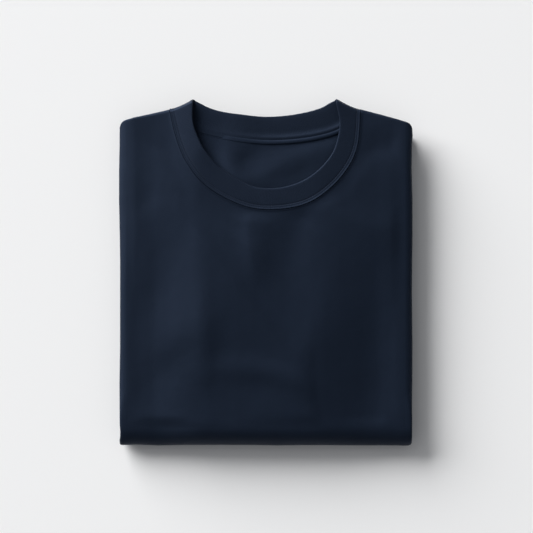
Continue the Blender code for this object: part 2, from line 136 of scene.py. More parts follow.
# How far the sides bulge beyond a straight fold, in mm: y, on the left, on the right
SIDE_BULGE = np.array((
    (-178, 1.0, 0.1),
    (-172, 0.7, 0.2),
    (-168.5, -0.1, 0.2),
    (-162, 0.0, 0.2),
    (-157, 0.4, 0.2),
    (-135, 0.6, 0.1),
    (-112, 0.7, 0.4),
    (-75, 0.1, 0.6),
    (-20, 0.1, 0.0),
    (10, 0.1, 0.3),
    (40, 0.5, 0.6),
    (75, 1.3, 0.6),
    (105, 1.2, -0.3),
    (128, 0.8, 0.0),
    (141, 0.7, 0.8),
    (150, 0.6, 0.3),
))
BULGE_FROM = 141 * MM

# How far the lower fold bulges beyond a straight line, in mm: x, on the fold
FOLD_BULGE = np.array((
    (-149, -0.2),
    (-134, -0.85),
    (-110, 0.0),
    (-85, -0.55),
    (-60, -0.7),
    (-11, -0.55),
    (13, -0.1),
    (38, -0.4),
    (62, -0.4),
    (87, -0.1),
    (136, 0.0),
    (145, 0.5),
    (149, -0.4),
))
FOLD_BULGE_FROM = -160 * MM

# Creases of the top in mm: where the crest is, half its length, how far it slopes off before
# and after that line, its turn in degrees, how far its ends bow aside, and its height
TOP_CREASES = (
    (-57, -40, 106, 46, 32, -30, 3, 1.72),
    (61, -49, 99, 32, 46, -21, 3, 2.10),
    (2, -102, 50, 12, 13, 78, -7, 1.68),
    (-15, 32, 37, 11, 19, 7, 3, 1.62),
    (31, 44, 38, 20, 16, -15, 0, -1.13),
    (105, 57, 117, 24, 36, 3, -6, 1.17),
    (-126, 16, 50, 46, 20, -15, -4, 1.33),
    (-71, -121, 48, 24, 17, 46, 3, -1.12),
    (116, -92, 77, 25, 18, -2, -8, -2.00),
    (-132, -26, 130, 7, 27, -5, -5, -0.94),
    (-75, -164, 87, 46, 11, 75, 1, 1.08),
    (-11, -63, 117, 39, 40, 87, -8, 1.68),
    (110, 129, 38, 12, 15, 92, 0, -1.79),
    (55, -124, 46, 10, 46, 10, 6, -1.28),
    (-109, 85, 71, 9, 19, 0, 1, 0.98),
    (-101, 65, 20, 26, 17, 62, -7, 1.10),
    (-96, -95, 43, 16, 21, -50, 4, -1.28),
    (-105, -126, 91, 12, 21, 4, 6, 1.47),
    (94, 48, 43, 38, 18, 71, 8, 2.20),
    (-58, -119, 95, 16, 13, -14, -1, -0.55),
    (-61, 105, 121, 7, 9, 65, -2, -0.60),
    (-62, -85, 109, 10, 12, 2, 3, 0.87),
    (-42, 1, 119, 29, 9, 37, -1, 1.33),
    (-102, 94, 19, 46, 19, -77, -4, 1.15),
    (-31, 33, 37, 46, 10, 55, 0, 1.26),
    (89, -108, 72, 23, 28, -70, -1, 0.51),
    (3, -14, 39, 44, 26, 43, 2, 1.46),
)
CREASE_FADE = 14 * MM
NECK_CENTRE_Y = 142 * MM
NECK_HALF_WIDTH = 96.5 * MM
NECK_DROP = 77 * MM
NECK_FADE = 0.2

# The cloth rises into the neck seam and dips at its very edge, in mm: rise, where, width
SEAM_RELIEF = (
    (0.5, 0.0, 1.4),
    (-0.3, 0.0, 0.35),
)

# How the pattern is divided: rows beside its worked edges, in mm, and even steps
SEAM_ROWS = (0.35, 0.75, 1.2, 1.7, 2.3, 3.1, 4.2, 5.8)
CURL_ROWS = (0.5, 1.0, 1.6, 2.2, 2.8, 3.4, 4.0, 4.7, 5.6, 7.0)
LATTICE = 2.3 * MM
LATTICE_CLEAR = 0.55
LATTICE_TOP = 172 * MM
CUT_WELD = 1e-7
NECK_SAMPLES = 16
HALF_TURN_SHARE = 0.35
SIDE_TOP = 140 * MM
EDGE_STEP = 5 * MM
LIP_STEP = 6 * MM
ROLL_STEP = 1.2 * MM
ROLL_COLUMN = 1.3 * MM
SHOULDER_STEP = 2 * MM
CORNER_CLEAR = 1 * MM
FOLD_STEP = 2 * MM
HEM_FINE = 3 * MM
HEM_FINE_STEP = 0.5 * MM


def smooth(value):
    """Ease from 0 to 1 and hold at both ends."""
    held = np.clip(value, 0.0, 1.0)
    return held * held * (3 - 2 * held)


def mix(start, end, share):
    return start + (end - start) * share


def curve_point(before, start, end, after, t):
    """Return a point of a smooth curve, t of the way from start to end."""
    return 0.5 * (2 * start + (end - before) * t
                  + (2 * before - 5 * start + 4 * end - after) * t ** 2
                  + (3 * start - before - 3 * end + after) * t ** 3)


def through(rows, samples):
    """Run a smooth open curve through the rows of a table."""
    points = np.array(rows, float)
    padded = np.vstack((points[:1], points, points[-1:]))
    curve = [curve_point(*four, step / samples)
             for four in zip(padded, padded[1:], padded[2:], padded[3:])
             for step in range(samples)]
    return np.array([*curve, points[-1]])


def relief(place, rows):
    """Add up soft ridges and grooves, each given by its rise in mm, place and width."""
    return sum(rise * MM * np.exp(-((place - centre) / width) ** 2)
               for rise, centre, width in rows)


def shoulder_edge(across):
    """Return the y of the shoulder line, eased over the corners of its table."""
    across = np.asarray(across, float)
    total = 0.0
    eases = (-2.0, -1.0, 0.0, 1.0, 2.0)
    for ease in eases:
        distance = np.abs(across) / MM + ease
        left = np.interp(distance, SHOULDER[:, 0], SHOULDER[:, 1])
        right = np.interp(distance, SHOULDER[:, 0], SHOULDER[:, 2])
        total = total + np.where(across < 0, left, right)
    return total / len(eases) * MM


def shoulder_curl(across):
    """Return the radius at which the cloth turns over at the shoulder."""
    change = (np.abs(across) - CURL_CHANGE[0]) / (CURL_CHANGE[1] - CURL_CHANGE[0])
    return mix(FLAT_CURL, ROLL_CURL, smooth(change))


def crease_height(x, y, creases):
    """Add up the soft creases that raise or lower the cloth."""
    height = 0.0
    for crest_x, crest_y, half_length, before, after, turn, bow, rise in creases:
        cos = math.cos(math.radians(turn))
        sin = math.sin(math.radians(turn))
        dx = x / MM - crest_x
        dy = y / MM - crest_y
        lengthways = np.abs(dy * cos - dx * sin) / half_length
        side = dx * cos + dy * sin - bow * lengthways ** 2
        width = np.where(side < 0, before, after)
        height = height + rise * MM * np.exp(-(lengthways ** 2.6) - (side / width) ** 2)
    edge = np.minimum(ROLL_START - np.abs(x), y - FOLD_Y) / CREASE_FADE
    return height * smooth(edge)


def top_relief(x, y):
    """Return the creases of the top, which die out at the firm seam of the neckband."""
    reach = np.hypot(x / NECK_HALF_WIDTH, np.minimum(y - NECK_CENTRE_Y, 0) / NECK_DROP)
    return crease_height(x, y, TOP_CREASES) * smooth((reach - 1) / NECK_FADE)


def settled_share(x, y):
    """Return what share of its height the stack keeps at each point."""
    sag = np.where(x < 0, LEFT_SAG, RIGHT_SAG)
    start = np.where(x < 0, LEFT_SAG_FROM, RIGHT_SAG_FROM)
    side = sag * smooth((np.abs(x) - start) / (SIDE_SAG_UNTIL - start))
    shoulder = smooth((y - SHOULDER_SAG_FROM) / (SHOULDER_SAG_UNTIL - SHOULDER_SAG_FROM))
    fold = np.clip((FOLD_SAG_FROM - y) / (FOLD_SAG_FROM - front_low.y), 0, 1) ** 2
    edge = smooth((-x - EDGE_SAG_FROM) / (EDGE_SAG_UNTIL - EDGE_SAG_FROM))
    edge = EDGE_SAG * edge * smooth((y - EDGE_SAG_LOW) / (EDGE_SAG_HIGH - EDGE_SAG_LOW))
    return (1 - side - edge) * (1 - SHOULDER_SAG * shoulder - FOLD_SAG * fold)


def side_bulge(x, y):
    """Return how far the sides of the stack bulge outwards, as a change of x."""
    left = np.interp(y / MM, SIDE_BULGE[:, 0], SIDE_BULGE[:, 1])
    right = np.interp(y / MM, SIDE_BULGE[:, 0], SIDE_BULGE[:, 2])
    share = smooth((np.abs(x) - BULGE_FROM) / (ROLL_START + ROLL_WIDTH - BULGE_FROM))
    return np.where(x < 0, -left, right) * MM * share


def fold_bulge(x, y):
    """Return how far the lower fold bulges outwards, as a change of y."""
    out = np.interp(x / MM, FOLD_BULGE[:, 0], FOLD_BULGE[:, 1])
    return -out * MM * smooth((FOLD_BULGE_FROM - y) / (FOLD_BULGE_FROM - front_low.y))


def place_on_fold(x, travel, depth):
    """Place points of the cloth, depth being how far they are inside the shirt."""
    turn = np.pi * np.clip(travel / FOLD_ARC, 0, 1)
    flat = np.maximum(-travel, 0) + np.maximum(travel - FOLD_ARC, 0)
    left = 1 - depth / HALF_HEIGHT
    y = FOLD_Y + flat - FOLD_REACH * left * np.sin(turn)
    z = HALF_HEIGHT + HALF_HEIGHT * left * np.cos(turn)
    return np.stack((x, y, z), axis=-1)


def side_roll(across, travel):
    """Return x, depth, and the way inwards, of the wrapped cross-section."""
    side = np.sign(across)
    past = np.abs(across) - ROLL_START
    corner = 1 - smooth((np.abs(travel - FOLD_ARC / 2) - FOLD_ARC / 2) / CORNER_LENGTH)
    power = 2 / mix(ROLL_FULLNESS, CORNER_FULLNESS, corner)
    turn = np.pi * np.clip(past / ROLL_ARC, 0, 1)
    lip = np.maximum(past - ROLL_ARC, 0)
    out = np.maximum(np.sin(turn), 0) ** power
    down = 1 - np.sign(np.cos(turn)) * np.abs(np.cos(turn)) ** power
    flat = past <= 0
    x = np.where(flat, across, side * (ROLL_START + ROLL_WIDTH * out - lip))
    depth = np.where(flat, 0.0, ROLL_HALF_DEPTH * down)
    inward_x = np.where(flat, 0.0, -side * np.sin(turn))
    inward_depth = np.where(flat, 1.0, np.cos(turn))
    return x, depth, inward_x, inward_depth


def curl_at(across, length):
    """Return y and the tuck inwards, a length of cloth away from the shoulder."""
    radius = shoulder_curl(across)
    arc = radius * np.pi / 2
    turn = np.clip(1 - length / arc, 0, 1) * np.pi / 2
    y = shoulder_edge(across) - radius * (1 - np.sin(turn)) - np.maximum(length - arc, 0)
    return y, radius * (1 - np.cos(turn)) + np.maximum(-length, 0)


def along_at(across, y):
    """Return the pattern's along value of a point that lies at y on the top."""
    radius = shoulder_curl(across)
    return y - radius * (np.pi / 2 - 1)


def hem_turn(travel, hem_travel):
    """Return travel and tuck where the hem is turned back inside."""
    past = travel - (hem_travel - HEM_TURN)
    arc = np.pi * HEM_TURN
    turn = np.clip(past / arc, 0, 1) * np.pi
    turned = hem_travel - HEM_TURN + HEM_TURN * np.sin(turn) - np.maximum(past - arc, 0)
    return np.where(past > 0, turned, travel), HEM_TURN * (1 - np.cos(turn))


def distance_to(x, y, line):
    """Return how far points lie from a line of close points."""
    nearest = np.full(len(x), np.inf)
    for point_x, point_y in line:
        nearest = np.minimum(nearest, np.hypot(x - point_x, y - point_y))
    return nearest


front_seam = through(FRONT_NECK, NECK_SAMPLES)[:, :2] * MM


def front_place(across, along):
    """Place pattern points of the front on its outer face."""
    length = shoulder_edge(across) - along
    y, tuck = curl_at(across, length)
    travel, hem_tuck = hem_turn(FOLD_Y - y, FOLD_ARC + FRONT_HEM_Y - FOLD_Y)
    tuck = tuck + hem_tuck
    x, depth, inward_x, inward_depth = side_roll(across, travel)
    x = x + inward_x * tuck
    depth = depth + inward_depth * tuck
    on_top = (np.abs(across) < ROLL_START) & (travel < 0)
    raised = top_relief(x, y) + relief(distance_to(x, y, front_seam) / MM, SEAM_RELIEF)
    depth = depth - np.where(on_top, raised, 0.0)
    return place_on_fold(x, travel, depth)


def neck_outline(seam, left_x, right_x):
    """Return the pattern outline of a neckline, left to right, with its shoulder ends."""
    points = [(x, along_at(x, y)) for x, y in seam]
    ends = []
    for corner_x, (near_x, _) in ((left_x, points[0]), (right_x, points[-1])):
        half_way = mix(corner_x, near_x, HALF_TURN_SHARE)
        turned = shoulder_edge(half_way) - shoulder_curl(half_way) * math.pi / 4
        ends.append(((corner_x, float(shoulder_edge(corner_x))), (half_way, float(turned))))
    return [*ends[0], *points, *reversed(ends[1])]


def offset_line(line, distance):
    """Return a line moved sideways, to the right of its own direction."""
    points = np.array(line)
    run = np.gradient(points, axis=0)
    run /= np.linalg.norm(run, axis=1)[:, None]
    return points + distance * np.stack((run[:, 1], -run[:, 0]), axis=-1)


def spread(start, end, step):
    """Return even values from start to end, near one step apart."""
    return list(np.linspace(start, end, max(round(abs(end - start) / step), 1) + 1))


def cut_cloth(outline, worked_lines, columns, rows):
    """Cut a flat pattern piece: triangles inside its outline, through close worked lines
    and an even lattice."""
    outline = [Vector(point) for point in outline]
    worked = [Vector(point) for line in worked_lines for point in line]
    corners = len(outline)
    near = KDTree(corners + len(worked))
    for i, point in enumerate(outline + worked):
        near.insert((*point, 0), i)
    near.balance()
    lattice = []
    for row, next_row in zip(rows, rows[1:]):
        for column, next_column in zip(columns, columns[1:]):
            clear = LATTICE_CLEAR * min(next_row - row, next_column - column)
            if near.find((column, row, 0))[2] > clear:
                lattice.append(Vector((column, row)))
    points = outline + worked + lattice
    verts, _, faces, _, _, _ = delaunay_2d_cdt(points, [], [list(range(corners))], 1, CUT_WELD)
    used = sorted({i for face in faces for i in face})
    order = {old: new for new, old in enumerate(used)}
    flat = np.array([verts[i] for i in used])
    return flat, [[order[i] for i in face] for face in faces]


def add_item(name, mesh):
    """Put a mesh into the scene as a named object."""
    item = bpy.data.objects.new(name, mesh)
    bpy.context.scene.collection.objects.link(item)
    return item


def lay_cloth(name, pattern, place, thickness, facing_down=False):
    """Make a pattern piece into a thin closed wall, laid where place puts it."""
    flat, faces = pattern
    laid = place(flat[:, 0], flat[:, 1])
    if facing_down:
        faces = [face[::-1] for face in faces]
    mesh = bpy.data.meshes.new(name)
    mesh.from_pydata(laid.tolist(), [], faces)
    cloth = mesh.uv_layers.new(name="cloth")
    corner_points = np.zeros(len(mesh.loops), np.int32)
    mesh.loops.foreach_get("vertex_index", corner_points)
    cloth.data.foreach_set("uv", flat[corner_points].astype(np.float32).ravel())
    item = add_item(name, mesh)
    wall = item.modifiers.new("Wall", "SOLIDIFY")
    wall.thickness = thickness
    wall.offset = -1
    wall.use_quality_normals = True
    return settle(item)


def settle(item):
    """Turn an object into a plain, smooth mesh that settles and bulges with the stack."""
    evaluated = item.evaluated_get(bpy.context.evaluated_depsgraph_get())
    mesh = bpy.data.meshes.new_from_object(evaluated)
    item.modifiers.clear()
    item.data = mesh
    places = np.zeros(len(mesh.vertices) * 3, np.float32)
    mesh.vertices.foreach_get("co", places)
    places = places.reshape(-1, 3)
    places[:, 2] *= settled_share(places[:, 0], places[:, 1])
    places[:, 0] += side_bulge(places[:, 0], places[:, 1])
    places[:, 1] += fold_bulge(places[:, 0], places[:, 1])
    mesh.vertices.foreach_set("co", places.ravel())
    mesh.shade_smooth()
    return item


def finish_piece(item, node, material):
    """Give a piece its finish and body, and hide the solid that it stands for."""
    item.data.materials.clear()
    item.data.materials.append(material)
    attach(item, "root")
    if node:
        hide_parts(node)


def linear(hex_colour):
    """Turn an sRGB hex colour into linear values."""
    values = [int(hex_colour[i:i + 2], 16) / 255 for i in (1, 3, 5)]
    return [v / 12.92 if v <= 0.04045 else ((v + 0.055) / 1.055) ** 2.4 for v in values]


def add_node(tree, kind, inputs=(), **settings):
    """Add a node, set its properties and its sockets, and link what is a socket."""
    node = tree.nodes.new(kind)
    for name, value in settings.items():
        setattr(node, name, value)
    for key, value in dict(inputs).items():
        if isinstance(value, bpy.types.NodeSocket):
            tree.links.new(value, node.inputs[key])
        else:
            node.inputs[key].default_value = value
    return node


# Single jersey: fine rows of V loops, brushed matt, with a faint bloom of loose fibre.
# Real wales are 0.7 mm apart; they are drawn 1.1 mm apart to show at all.
# The colour is painted lighter on the loops' crowns and darker in the grooves between them, as
# painted shade; heather clouds vary its tone at random.
WALE = 1.1 * MM
COURSE = 0.9 * MM
JERSEY_BUMP = 0.35
LOOP_RELIEF = 0.25 * MM
LOOP_FALL = -3.2
STRAND_LEVEL = 0.75
STRAND_SWING = 0.25
LINT_RELIEF = 0.7
LOOP_PAINTED_SHADE = 0.55
HEATHER_SHADE = 0.45
RUMPLE = 0.35 * MM
# The second colour is random wear and the painted light on the loops' crowns; the first is the
# cloth and the painted shade between loops.
NAVY = "#0c111a"
NAVY_WORN_AND_LIT_LOOPS = "#0f1620"
GLOSS_TINT = "#89a5d6"
BLOOM_TINT = "#8ea4c8"

# Noise, as marks in each metre: lint 1.1 mm apart, heather clouds 63 mm, rumple 21 mm
LINT_SCALE = 900.0
HEATHER_SCALE = 16.0
RUMPLE_SCALE = 48.0


def jersey_material(name, base, lighter, wale, course, bump):
    """Navy combed cotton jersey, washed soft: V loops, lint, heather tone and painted loop shade.
    """
    material = bpy.data.materials.new(name)
    material.use_nodes = True
    tree = material.node_tree
    shader = tree.nodes["Principled BSDF"]
    cloth = add_node(tree, "ShaderNodeUVMap", uv_map="cloth")
    apart = add_node(tree, "ShaderNodeSeparateXYZ", {"Vector": cloth.outputs["UV"]})
    wales = add_node(tree, "ShaderNodeMath", {0: apart.outputs["X"], 1: wale},
                     operation="DIVIDE")
    slant = add_node(tree, "ShaderNodeMath", {0: wales.outputs[0], 1: 0.5}, operation="PINGPONG")
    square = add_node(tree, "ShaderNodeMath", {0: slant.outputs[0], 1: slant.outputs[0]},
                      operation="MULTIPLY")
    crown = add_node(tree, "ShaderNodeMath", {0: square.outputs[0], 1: LOOP_FALL, 2: 1.0},
                     operation="MULTIPLY_ADD")
    courses = add_node(tree, "ShaderNodeMath", {
        0: apart.outputs["Y"], 1: 1 / course, 2: slant.outputs[0]}, operation="MULTIPLY_ADD")
    turn = add_node(tree, "ShaderNodeMath", {0: courses.outputs[0], 1: 2 * math.pi},
                    operation="MULTIPLY")
    strand = add_node(tree, "ShaderNodeMath", {0: turn.outputs[0]}, operation="SINE")
    rise = add_node(tree, "ShaderNodeMath", {
        0: strand.outputs[0], 1: STRAND_SWING, 2: STRAND_LEVEL}, operation="MULTIPLY_ADD")
    loops = add_node(tree, "ShaderNodeMath", {0: crown.outputs[0], 1: rise.outputs[0]},
                     operation="MULTIPLY")
    place = add_node(tree, "ShaderNodeTexCoord")
    lint = add_node(tree, "ShaderNodeTexNoise", {
        "Vector": place.outputs["Object"], "Scale": LINT_SCALE, "Detail": 3.0})
    heather = add_node(tree, "ShaderNodeTexNoise", {
        "Vector": place.outputs["Object"], "Scale": HEATHER_SCALE, "Detail": 4.0})
    surface = add_node(tree, "ShaderNodeMath", {
        0: lint.outputs["Fac"], 1: LINT_RELIEF, 2: loops.outputs[0]}, operation="MULTIPLY_ADD")
    rumple = add_node(tree, "ShaderNodeTexNoise", {
        "Vector": place.outputs["Object"], "Scale": RUMPLE_SCALE, "Detail": 3.0})
    rumpled = add_node(tree, "ShaderNodeBump", {
        "Height": rumple.outputs["Fac"], "Strength": 1.0, "Distance": RUMPLE})
    height = add_node(tree, "ShaderNodeBump", {
        "Height": surface.outputs[0], "Strength": bump, "Distance": LOOP_RELIEF,
        "Normal": rumpled.outputs["Normal"]})
    # Painted shade: the colour follows the loops' relief, lighter on their crowns and darker
    # between them.
    painted_loop_shade = add_node(tree, "ShaderNodeMath", {0: loops.outputs[0], 1: LOOP_PAINTED_SHADE},
                          operation="MULTIPLY")
    shade = add_node(tree, "ShaderNodeMath", {
        0: heather.outputs["Fac"], 1: HEATHER_SHADE, 2: painted_loop_shade.outputs[0]},
        operation="MULTIPLY_ADD")
    colour = add_node(tree, "ShaderNodeMix", {
        "Factor": shade.outputs[0], 6: (*linear(base), 1), 7: (*linear(lighter), 1)},
        data_type="RGBA")
    tree.links.new(colour.outputs[2], shader.inputs["Base Color"])
    tree.links.new(height.outputs["Normal"], shader.inputs["Normal"])
    for name, value in (("Roughness", 0.6), ("Specular IOR Level", 0.48),
                        ("Specular Tint", (*linear(GLOSS_TINT), 1)), ("Sheen Weight", 0.03),
                        ("Sheen Roughness", 0.5), ("Sheen Tint", (*linear(BLOOM_TINT), 1))):
        shader.inputs[name].default_value = value
    return material


navy_jersey = jersey_material("navy_cotton_jersey", NAVY, NAVY_WORN_AND_LIT_LOOPS, WALE, COURSE, JERSEY_BUMP)

side_end = ROLL_START + ROLL_ARC + LIP
front_neck = neck_outline(front_seam, LEFT_SHOULDER_X, RIGHT_SHOULDER_X)
hem_along = float(along_at(0.0, FOLD_Y) - FOLD_ARC - (FRONT_HEM_Y - FOLD_Y) - HEM_DEPTH)


def shoulder_line(values):
    """Return the pattern's shoulder edge at these distances across."""
    return [(x, float(shoulder_edge(x)) + CURL_END) for x in values]


def panel_outline(bottom, sides, right, neck, left):
    """Return a panel's outline: hem, right side, right shoulder, neck and so back down."""
    side, hem = bottom[-1], sides[0]
    return [*[(x, hem) for x in bottom[:-1]], *[(side, y) for y in sides[:-1]],
            *reversed(shoulder_line(right)), *reversed(neck), *reversed(shoulder_line(left)),
            *[(-side, y) for y in reversed(sides[1:-1])]]


def worked_lines(neck, left, right):
    """Return close lines beside a panel's neckline and along both shoulder turns."""
    lines = [offset_line(neck, row * MM) for row in SEAM_ROWS]
    for values in (left, right):
        edge = shoulder_line(values)
        lines += [[(x, y - row * MM) for x, y in edge] for row in CURL_ROWS]
    return lines


def hem_rows(hem):
    """Return a panel's rows from its raw edge to just past the fold of its hem."""
    fold = hem + HEM_DEPTH
    return [*spread(hem, fold - HEM_FINE, EDGE_STEP)[:-1],
            *spread(fold - HEM_FINE, fold + HEM_FINE, HEM_FINE_STEP)[:-1]]


left_values = [-side_end, *spread(-ROLL_START - ROLL_ARC, -ROLL_START, ROLL_STEP),
               *spread(-ROLL_START + SHOULDER_STEP, LEFT_SHOULDER_X - CORNER_CLEAR,
                       SHOULDER_STEP)]
right_values = [*spread(RIGHT_SHOULDER_X + CORNER_CLEAR, ROLL_START - SHOULDER_STEP,
                        SHOULDER_STEP),
                *spread(ROLL_START, ROLL_START + ROLL_ARC, ROLL_STEP), side_end]
front_outline = panel_outline(spread(-side_end, side_end, EDGE_STEP),
                              spread(hem_along, SIDE_TOP, EDGE_STEP),
                              right_values, front_neck, left_values)
front_worked = worked_lines(front_neck, left_values[1:], right_values[:-1])
front_columns = [*spread(-side_end, -ROLL_START - ROLL_ARC, LIP_STEP)[:-1],
                 *spread(-ROLL_START - ROLL_ARC, -ROLL_START, ROLL_COLUMN)[:-1],
                 *spread(-ROLL_START, ROLL_START, LATTICE)[:-1],
                 *spread(ROLL_START, ROLL_START + ROLL_ARC, ROLL_COLUMN)[:-1],
                 *spread(ROLL_START + ROLL_ARC, side_end, LIP_STEP)]
fold_along = float(along_at(0.0, FOLD_Y))
front_rows = [*hem_rows(hem_along),
              *spread(hem_along + HEM_DEPTH + HEM_FINE, fold_along - FOLD_ARC, LIP_STEP)[:-1],
              *spread(fold_along - FOLD_ARC, fold_along, FOLD_STEP)[:-1],
              *spread(fold_along, LATTICE_TOP, LATTICE)]
front_pattern = cut_cloth(front_outline, front_worked, front_columns, front_rows)
front_cloth = lay_cloth("front_cloth", front_pattern, front_place, JERSEY)
finish_piece(front_cloth, "front_panel", navy_jersey)

# Navy sewing thread: each row is short lockstitches sunk a little into the cloth.
STITCH_PITCH = 2.9 * MM
STITCH_LENGTH = 2.3 * MM
THREAD = 0.42 * MM
STITCH_SINK = 0.22 * MM
STITCH_INSET = 2 * MM
HEM_STITCH_ROWS = (15.5 * MM, 18.5 * MM)
HEM_STATIONS = 260
BESIDE = 0.5 * MM
THREAD_NAVY = "#0e131c"
THREAD_LIGHT = "#171e2b"
TWIST_SCALE = 2500.0


def stitch_tree():
    """Build the Geometry Nodes tree that sews stitches along a line."""
    tree = bpy.data.node_groups.new("stitch_row", "GeometryNodeTree")
    sockets = tree.interface
    sockets.new_socket("Line", in_out="INPUT", socket_type="NodeSocketGeometry")
    for name, value in (("Pitch", STITCH_PITCH), ("Length", STITCH_LENGTH), ("Thread", THREAD)):
        socket = sockets.new_socket(name, in_out="INPUT", socket_type="NodeSocketFloat")
        socket.default_value = value
    sockets.new_socket("Finish", in_out="INPUT", socket_type="NodeSocketMaterial")
    sockets.new_socket("Stitches", in_out="OUTPUT", socket_type="NodeSocketGeometry")
    line = tree.nodes.new("NodeGroupInput").outputs
    curve = add_node(tree, "GeometryNodeMeshToCurve", {"Mesh": line["Line"]})
    even = add_node(tree, "GeometryNodeResampleCurve", {
        "Curve": curve.outputs["Curve"], "Length": line["Pitch"]}, mode="LENGTH")
    run = tree.nodes.new("GeometryNodeInputTangent")
    up = add_node(tree, "GeometryNodeInputNamedAttribute", {"Name": "up"},
                  data_type="FLOAT_VECTOR")
    turned = add_node(tree, "FunctionNodeAlignRotationToVector", {
        "Vector": run.outputs["Tangent"]}, axis="X")
    upright = add_node(tree, "FunctionNodeAlignRotationToVector", {
        "Rotation": turned.outputs["Rotation"], "Vector": up.outputs["Attribute"]},
        axis="Z", pivot_axis="X")
    thread = add_node(tree, "GeometryNodeMeshUVSphere", {
        "Segments": 6, "Rings": 5, "Radius": 0.5})
    size = add_node(tree, "ShaderNodeCombineXYZ", {
        "X": line["Length"], "Y": line["Thread"], "Z": line["Thread"]})
    sewn = add_node(tree, "GeometryNodeInstanceOnPoints", {
        "Points": even.outputs["Curve"], "Instance": thread.outputs["Mesh"],
        "Rotation": upright.outputs["Rotation"], "Scale": size.outputs["Vector"]})
    real = add_node(tree, "GeometryNodeRealizeInstances", {"Geometry": sewn.outputs["Instances"]})
    finished = add_node(tree, "GeometryNodeSetMaterial", {
        "Geometry": real.outputs["Geometry"], "Material": line["Finish"]})
    add_node(tree, "NodeGroupOutput", {"Stitches": finished.outputs["Geometry"]})
    return tree


def thread_material():
    """Spun polyester thread, matt and a touch lighter than the cloth, twisted every 0.4 mm."""
    material = bpy.data.materials.new("navy_polyester_thread")
    material.use_nodes = True
    tree = material.node_tree
    shader = tree.nodes["Principled BSDF"]
    place = add_node(tree, "ShaderNodeTexCoord")
    twist = add_node(tree, "ShaderNodeTexNoise", {
        "Vector": place.outputs["Object"], "Scale": TWIST_SCALE, "Detail": 2.0})
    colour = add_node(tree, "ShaderNodeMix", {
        "Factor": twist.outputs["Fac"], 6: (*linear(THREAD_NAVY), 1),
        7: (*linear(THREAD_LIGHT), 1)}, data_type="RGBA")
    tree.links.new(colour.outputs[2], shader.inputs["Base Color"])
    shader.inputs["Roughness"].default_value = 0.8
    shader.inputs["Specular IOR Level"].default_value = 0.2
    return material


navy_thread = thread_material()
stitches = stitch_tree()


def sew(name, lines):
    """Sew rows of stitches: each line is (points, ways up, closed)."""
    verts, ups, edges = [], [], []
    for points, up, closed in lines:
        first = len(verts)
        count = len(points)
        verts += [tuple(point) for point in points]
        ups += [tuple(way) for way in up]
        edges += [(first + i, first + i + 1) for i in range(count - 1)]
        if closed:
            edges.append((first + count - 1, first))
    mesh = bpy.data.meshes.new(name)
    mesh.from_pydata(verts, edges, [])
    mesh.attributes.new("up", "FLOAT_VECTOR", "POINT").data.foreach_set(
        "vector", np.array(ups, np.float32).ravel())
    item = add_item(name, mesh)
    rows = item.modifiers.new("Stitches", "NODES")
    rows.node_group = stitches
    for socket in stitches.interface.items_tree:
        if socket.name == "Finish":
            rows[socket.identifier] = navy_thread
    settle(item)
    finish_piece(item, None, navy_thread)
    return item


def panel_line(place, along, half_width, sign):
    """Return a line across a panel at one distance along its pattern."""
    across = np.linspace(-half_width, half_width, HEM_STATIONS)
    here = place(across, np.full_like(across, along))
    ahead = place(across, np.full_like(across, along + BESIDE))
    beside = place(across + BESIDE, np.full_like(across, along))
    up = np.cross(beside - here, ahead - here) * sign
    up /= np.linalg.norm(up, axis=1)[:, None]
    return here - up * STITCH_SINK, up, False


front_hem_rows = [panel_line(front_place, hem_along + HEM_DEPTH + row, side_end - STITCH_INSET, 1)
                  for row in HEM_STITCH_ROWS]
front_hem = sew("front_hem_stitches", front_hem_rows)


# ----------------------------------------------------------------- Back panel
# The back is the same jersey.  It shows inside the neck opening, at the shoulders, and on
# the underside above the front's hem.

BACK_DEPTH_AT_NECK = 6.0 * MM
BACK_DEPTH_AT_FOLD = 1.9 * MM
BACK_LEVEL_UNTIL = 105 * MM
BACK_SIDE = 139 * MM
BACK_HEM_Y = 139 * MM
BACK_SIDE_TOP = 150 * MM
BACK_FINE_FROM = 60 * MM
BACK_COLUMN = 3.5 * MM
BACK_SHOULDER_STEP = 2.5 * MM
CAD_JERSEY = 1.6 * MM

# Neckline of the back in mm, right to left: seam x, seam y, rim x, rim y
BACK_NECK = (
    (94.4, 163.1, 70.4, 176.6),
    (86.0, 151.6, 65.4, 174.2),
    (73.5, 143.4, 56.5, 169.3),
    (53.0, 137.4, 42.5, 165.1),
    (28.0, 133.8, 23.0, 161.6),
    (0.0, 132.8, -1.0, 160.2),
    (-28.0, 135.3, -26.0, 162.6),
    (-54.0, 139.9, -45.0, 165.4),
    (-73.5, 145.6, -58.0, 169.2),
    (-86.5, 153.6, -68.0, 174.1),
    (-95.4, 163.8, -72.5, 176.4),
)
back_seam = through(BACK_NECK[::-1], NECK_SAMPLES)[:, :2] * MM

# Small creases of the back inside the neck opening, as in the table of the top
NECK_CREASES = (
    (-10, 96, 90, 21, 27, -79, -4, 2.4),
    (-18, 111, 14, 12, 22, 18, 5, -1.4),
    (62, 128, 40, 8, 22, -72, 0, 1.1),
    (-37, 122, 40, 10, 21, -5, 5, 1.1),
    (31, 103, 31, 10, 12, -64, -5, -1.4),
    (43, 115, 37, 6, 8, -59, 4, 0.3),
    (-26, 97, 31, 8, 11, 47, 4, 1.1),
    (-73, 138, 30, 12, 15, 10, 0, -0.8),
    (80, 168, 24, 14, 20, 0, 0, 2.4),
)


